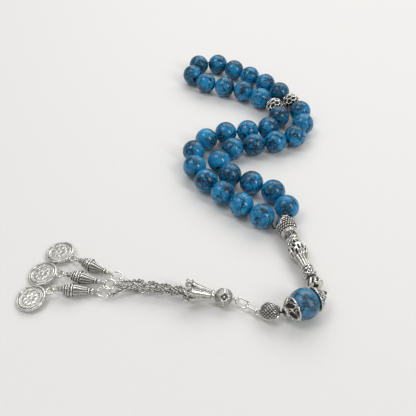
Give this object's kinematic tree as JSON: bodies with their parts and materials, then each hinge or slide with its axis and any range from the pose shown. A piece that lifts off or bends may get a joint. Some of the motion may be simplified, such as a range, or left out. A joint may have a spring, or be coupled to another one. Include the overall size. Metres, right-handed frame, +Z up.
{
  "type": "misbaha prayer beads",
  "caption": "Loop of round stone prayer beads with pierced separators, a cast leader, and a silver tassel of bell and medallion pendants.",
  "frame": {"origin": "on the table, under the middle of the bounding box of the strand as it lies", "axes": "+Z up off the table, +Y from the tassel towards the far end of the bead loop, +X to the right seen from the tassel"},
  "size_m": [0.117, 0.165, 0.011],
  "materials": {
    "turquoise": "polished dyed stone with black veins",
    "antique_silver": "cast silver, polished high and darkened in the recesses",
    "cord": "waxed braided cord"
  },
  "bodies": {
    "root": {"bead_cord": "cord", "tassel_cord": "cord", "leader": "antique_silver", "cord_crimp": "antique_silver"},
    "bead_01": {"bead_01": "turquoise"},
    "bead_02": {"bead_02": "turquoise"},
    "bead_03": {"bead_03": "turquoise"},
    "bead_04": {"bead_04": "turquoise"},
    "bead_05": {"bead_05": "turquoise"},
    "bead_06": {"bead_06": "turquoise"},
    "bead_07": {"bead_07": "turquoise"},
    "bead_08": {"bead_08": "turquoise"},
    "bead_09": {"bead_09": "turquoise"},
    "bead_10": {"bead_10": "turquoise"},
    "bead_11": {"bead_11": "turquoise"},
    "separator_1": {"separator_1": "antique_silver"},
    "bead_12": {"bead_12": "turquoise"},
    "bead_13": {"bead_13": "turquoise"},
    "bead_14": {"bead_14": "turquoise"},
    "bead_15": {"bead_15": "turquoise"},
    "bead_16": {"bead_16": "turquoise"},
    "bead_17": {"bead_17": "turquoise"},
    "bead_18": {"bead_18": "turquoise"},
    "bead_19": {"bead_19": "turquoise"},
    "bead_20": {"bead_20": "turquoise"},
    "bead_21": {"bead_21": "turquoise"},
    "bead_22": {"bead_22": "turquoise"},
    "separator_2": {"separator_2": "antique_silver"},
    "bead_23": {"bead_23": "turquoise"},
    "bead_24": {"bead_24": "turquoise"},
    "bead_25": {"bead_25": "turquoise"},
    "bead_26": {"bead_26": "turquoise"},
    "bead_27": {"bead_27": "turquoise"},
    "bead_28": {"bead_28": "turquoise"},
    "bead_29": {"bead_29": "turquoise"},
    "bead_30": {"bead_30": "turquoise"},
    "bead_31": {"bead_31": "turquoise"},
    "bead_32": {"bead_32": "turquoise"},
    "bead_33": {"bead_33": "turquoise"},
    "tassel_ball": {"tassel_ball": "turquoise"},
    "ball_cap_upper": {"ball_cap_upper": "antique_silver"},
    "ball_cap_lower": {"ball_cap_lower": "antique_silver"},
    "oval_bead": {"oval_bead": "antique_silver"},
    "link_2": {"link_2": "antique_silver"},
    "link_1": {"link_1": "antique_silver"},
    "tassel_pin": {"tassel_pin": "antique_silver"},
    "tassel_head_ball": {"tassel_head_ball": "antique_silver"},
    "flower_cone": {"flower_cone": "antique_silver"},
    "chains": {"chain_1": "antique_silver", "chain_2": "antique_silver", "chain_3": "antique_silver"},
    "jump_ring_1": {"jump_ring_1": "antique_silver"},
    "bell_1": {"bell_1": "antique_silver"},
    "coin_1": {"coin_1": "antique_silver"},
    "jump_ring_2": {"jump_ring_2": "antique_silver"},
    "bell_2": {"bell_2": "antique_silver"},
    "coin_2": {"coin_2": "antique_silver"},
    "jump_ring_3": {"jump_ring_3": "antique_silver"},
    "bell_3": {"bell_3": "antique_silver"},
    "coin_3": {"coin_3": "antique_silver"}
  },
  "joints": [
    {"name": "bead_01_turn", "type": "hinge", "parent": "root", "child": "bead_01", "pos_m": [0.03073, -0.03469, 0.005], "axis": [-0.7676, 0.6409, 0], "continuous": true},
    {"name": "bead_02_turn", "type": "hinge", "parent": "root", "child": "bead_02", "pos_m": [0.0228, -0.02836, 0.005], "axis": [-0.7556, 0.655, 0], "continuous": true},
    {"name": "bead_03_turn", "type": "hinge", "parent": "root", "child": "bead_03", "pos_m": [0.0154, -0.0214, 0.005], "axis": [-0.7018, 0.7124, 0], "continuous": true},
    {"name": "bead_04_turn", "type": "hinge", "parent": "root", "child": "bead_04", "pos_m": [0.00856, -0.0139, 0.005], "axis": [-0.5849, 0.8111, 0], "continuous": true},
    {"name": "bead_05_turn", "type": "hinge", "parent": "root", "child": "bead_05", "pos_m": [0.0036, -0.00504, 0.005], "axis": [-0.2749, 0.9615, 0], "continuous": true},
    {"name": "bead_06_turn", "type": "hinge", "parent": "root", "child": "bead_06", "pos_m": [0.00313, 0.0051, 0.005], "axis": [0.2606, 0.9655, 0], "continuous": true},
    {"name": "bead_07_turn", "type": "hinge", "parent": "root", "child": "bead_07", "pos_m": [0.00864, 0.01362, 0.005], "axis": [0.7361, 0.6769, 0], "continuous": true},
    {"name": "bead_08_turn", "type": "hinge", "parent": "root", "child": "bead_08", "pos_m": [0.01759, 0.0184, 0.005], "axis": [0.9523, 0.3052, 0], "continuous": true},
    {"name": "bead_09_turn", "type": "hinge", "parent": "root", "child": "bead_09", "pos_m": [0.02766, 0.01972, 0.005], "axis": [0.9822, 0.1878, 0], "continuous": true},
    {"name": "bead_10_turn", "type": "hinge", "parent": "root", "child": "bead_10", "pos_m": [0.0375, 0.0222, 0.005], "axis": [0.8125, 0.5829, 0], "continuous": true},
    {"name": "bead_11_turn", "type": "hinge", "parent": "root", "child": "bead_11", "pos_m": [0.04301, 0.03073, 0.005], "axis": [0.2411, 0.9705, 0], "continuous": true},
    {"name": "separator_1_turn", "type": "hinge", "parent": "root", "child": "separator_1", "pos_m": [0.04187, 0.03981, 0.0045], "axis": [-0.442, 0.897, 0], "continuous": true},
    {"name": "bead_12_turn", "type": "hinge", "parent": "root", "child": "bead_12", "pos_m": [0.03536, 0.04625, 0.005], "axis": [-0.76, 0.6499, 0], "continuous": true},
    {"name": "bead_13_turn", "type": "hinge", "parent": "root", "child": "bead_13", "pos_m": [0.02724, 0.05233, 0.005], "axis": [-0.8698, 0.4934, 0], "continuous": true},
    {"name": "bead_14_turn", "type": "hinge", "parent": "root", "child": "bead_14", "pos_m": [0.01784, 0.05618, 0.005], "axis": [-0.9285, 0.3712, 0], "continuous": true},
    {"name": "bead_15_turn", "type": "hinge", "parent": "root", "child": "bead_15", "pos_m": [0.00838, 0.05987, 0.005], "axis": [-0.8256, 0.5642, 0], "continuous": true},
    {"name": "bead_16_turn", "type": "hinge", "parent": "root", "child": "bead_16", "pos_m": [0.00152, 0.06734, 0.005], "axis": [-0.2196, 0.9756, 0], "continuous": true},
    {"name": "bead_17_turn", "type": "hinge", "parent": "root", "child": "bead_17", "pos_m": [0.00452, 0.07704, 0.005], "axis": [0.7828, 0.6222, 0], "continuous": true},
    {"name": "bead_18_turn", "type": "hinge", "parent": "root", "child": "bead_18", "pos_m": [0.01464, 0.07778, 0.005], "axis": [0.9673, -0.2534, 0], "continuous": true},
    {"name": "bead_19_turn", "type": "hinge", "parent": "root", "child": "bead_19", "pos_m": [0.02311, 0.07217, 0.005], "axis": [0.8093, -0.5875, 0], "continuous": true},
    {"name": "bead_20_turn", "type": "hinge", "parent": "root", "child": "bead_20", "pos_m": [0.03106, 0.06586, 0.005], "axis": [0.7635, -0.6458, 0], "continuous": true},
    {"name": "bead_21_turn", "type": "hinge", "parent": "root", "child": "bead_21", "pos_m": [0.0386, 0.05906, 0.005], "axis": [0.695, -0.719, 0], "continuous": true},
    {"name": "bead_22_turn", "type": "hinge", "parent": "root", "child": "bead_22", "pos_m": [0.04514, 0.05129, 0.005], "axis": [0.6011, -0.7992, 0], "continuous": true},
    {"name": "separator_2_turn", "type": "hinge", "parent": "root", "child": "separator_2", "pos_m": [0.05019, 0.04366, 0.0045], "axis": [0.4701, -0.8826, 0], "continuous": true},
    {"name": "bead_23_turn", "type": "hinge", "parent": "root", "child": "bead_23", "pos_m": [0.05371, 0.03521, 0.005], "axis": [0.1918, -0.9814, 0], "continuous": true},
    {"name": "bead_24_turn", "type": "hinge", "parent": "root", "child": "bead_24", "pos_m": [0.05382, 0.02506, 0.005], "axis": [-0.2264, -0.974, 0], "continuous": true},
    {"name": "bead_25_turn", "type": "hinge", "parent": "root", "child": "bead_25", "pos_m": [0.04924, 0.016, 0.005], "axis": [-0.7249, -0.6889, 0], "continuous": true},
    {"name": "bead_26_turn", "type": "hinge", "parent": "root", "child": "bead_26", "pos_m": [0.03996, 0.01189, 0.005], "axis": [-0.949, -0.3151, 0], "continuous": true},
    {"name": "bead_27_turn", "type": "hinge", "parent": "root", "child": "bead_27", "pos_m": [0.03006, 0.00963, 0.005], "axis": [-0.9671, -0.2543, 0], "continuous": true},
    {"name": "bead_28_turn", "type": "hinge", "parent": "root", "child": "bead_28", "pos_m": [0.02033, 0.00673, 0.005], "axis": [-0.8211, -0.5708, 0], "continuous": true},
    {"name": "bead_29_turn", "type": "hinge", "parent": "root", "child": "bead_29", "pos_m": [0.01422, -0.00138, 0.005], "axis": [-0.095, -0.9955, 0], "continuous": true},
    {"name": "bead_30_turn", "type": "hinge", "parent": "root", "child": "bead_30", "pos_m": [0.01869, -0.0105, 0.005], "axis": [0.69, -0.7238, 0], "continuous": true},
    {"name": "bead_31_turn", "type": "hinge", "parent": "root", "child": "bead_31", "pos_m": [0.02758, -0.01539, 0.005], "axis": [0.8632, -0.5048, 0], "continuous": true},
    {"name": "bead_32_turn", "type": "hinge", "parent": "root", "child": "bead_32", "pos_m": [0.03621, -0.02075, 0.005], "axis": [0.6792, -0.734, 0], "continuous": true},
    {"name": "bead_33_turn", "type": "hinge", "parent": "root", "child": "bead_33", "pos_m": [0.04088, -0.02976, 0.005], "axis": [0.1803, -0.9836, 0], "continuous": true},
    {"name": "tassel_ball_turn", "type": "hinge", "parent": "root", "child": "tassel_ball", "pos_m": [0.04223, -0.07669, 0.0055], "axis": [-0.89, -0.456, 0], "continuous": true},
    {"name": "ball_cap_upper_turn", "type": "hinge", "parent": "root", "child": "ball_cap_upper", "pos_m": [0.04223, -0.07669, 0.0055], "axis": [0.89, 0.456, 0], "continuous": true},
    {"name": "ball_cap_lower_turn", "type": "hinge", "parent": "root", "child": "ball_cap_lower", "pos_m": [0.04223, -0.07669, 0.0055], "axis": [-0.89, -0.456, 0], "continuous": true},
    {"name": "oval_bead_turn", "type": "hinge", "parent": "root", "child": "oval_bead", "pos_m": [0.03063, -0.07849, 0.0035], "axis": [-0.9323, 0.2607, -0.2506], "continuous": true},
    {"name": "link_2_swing", "type": "hinge", "parent": "root", "child": "link_2", "pos_m": [0.02551, -0.07737, 0.0023], "axis": [0.5049, 0.6459, 0.5725], "range_deg": [-30, 30]},
    {"name": "link_1_swing", "type": "hinge", "parent": "link_2", "child": "link_1", "pos_m": [0.02244, -0.07518, 0.00253], "axis": [-0.2939, -0.495, 0.8177], "range_deg": [-30, 30]},
    {"name": "tassel_pin_swing", "type": "hinge", "parent": "link_1", "child": "tassel_pin", "pos_m": [0.01938, -0.07298, 0.00276], "axis": [0.5049, 0.6459, 0.5725], "range_deg": [-25, 25]},
    {"name": "tassel_head_ball_turn", "type": "hinge", "parent": "tassel_pin", "child": "tassel_head_ball", "pos_m": [0.01488, -0.07239, 0.0033], "axis": [-0.9855, 0.1201, 0.1201], "continuous": true},
    {"name": "flower_cone_turn", "type": "hinge", "parent": "tassel_pin", "child": "flower_cone", "pos_m": [0.01488, -0.07239, 0.0033], "axis": [-0.9855, 0.1201, 0.1201], "continuous": true},
    {"name": "chains_swing", "type": "hinge", "parent": "tassel_pin", "child": "chains", "pos_m": [0.00788, -0.07154, 0.00415], "axis": [0, 0, 1], "range_deg": [-5, 5]},
    {"name": "jump_ring_1_lift", "type": "hinge", "parent": "chains", "child": "jump_ring_1", "pos_m": [-0.02228, -0.06378, 0.0018], "axis": [0.7121, 0.7021, 0], "range_deg": [-30, 10]},
    {"name": "bell_1_lift", "type": "hinge", "parent": "jump_ring_1", "child": "bell_1", "pos_m": [-0.02583, -0.0613, 0.0018], "axis": [0.4149, 0.9099, 0], "range_deg": [-40, 45]},
    {"name": "coin_1_lift", "type": "hinge", "parent": "bell_1", "child": "coin_1", "pos_m": [-0.03991, -0.05484, 0.00274], "axis": [0.5408, 0.8412, 0], "range_deg": [-45, 60]},
    {"name": "jump_ring_2_lift", "type": "hinge", "parent": "chains", "child": "jump_ring_2", "pos_m": [-0.02383, -0.06648, 0.0025], "axis": [0.0995, 0.995, 0], "range_deg": [0, 50]},
    {"name": "bell_2_lift", "type": "hinge", "parent": "jump_ring_2", "child": "bell_2", "pos_m": [-0.02815, -0.06571, 0.0025], "axis": [0.2501, 0.9682, 0], "range_deg": [-40, 60]},
    {"name": "coin_2_lift", "type": "hinge", "parent": "bell_2", "child": "coin_2", "pos_m": [-0.04316, -0.06186, 0.00274], "axis": [0.14, 0.9901, 0], "range_deg": [-45, 60]},
    {"name": "jump_ring_3_lift", "type": "hinge", "parent": "chains", "child": "jump_ring_3", "pos_m": [-0.02591, -0.06982, 0.0016], "axis": [0.4983, 0.867, 0], "range_deg": [-30, 0]},
    {"name": "bell_3_lift", "type": "hinge", "parent": "jump_ring_3", "child": "bell_3", "pos_m": [-0.03001, -0.06872, 0.0016], "axis": [0, 1, 0], "range_deg": [-40, 60]},
    {"name": "coin_3_lift", "type": "hinge", "parent": "bell_3", "child": "coin_3", "pos_m": [-0.0455, -0.06879, 0.00274], "axis": [-0.3401, 0.9404, 0], "range_deg": [-45, 60]}
  ]
}
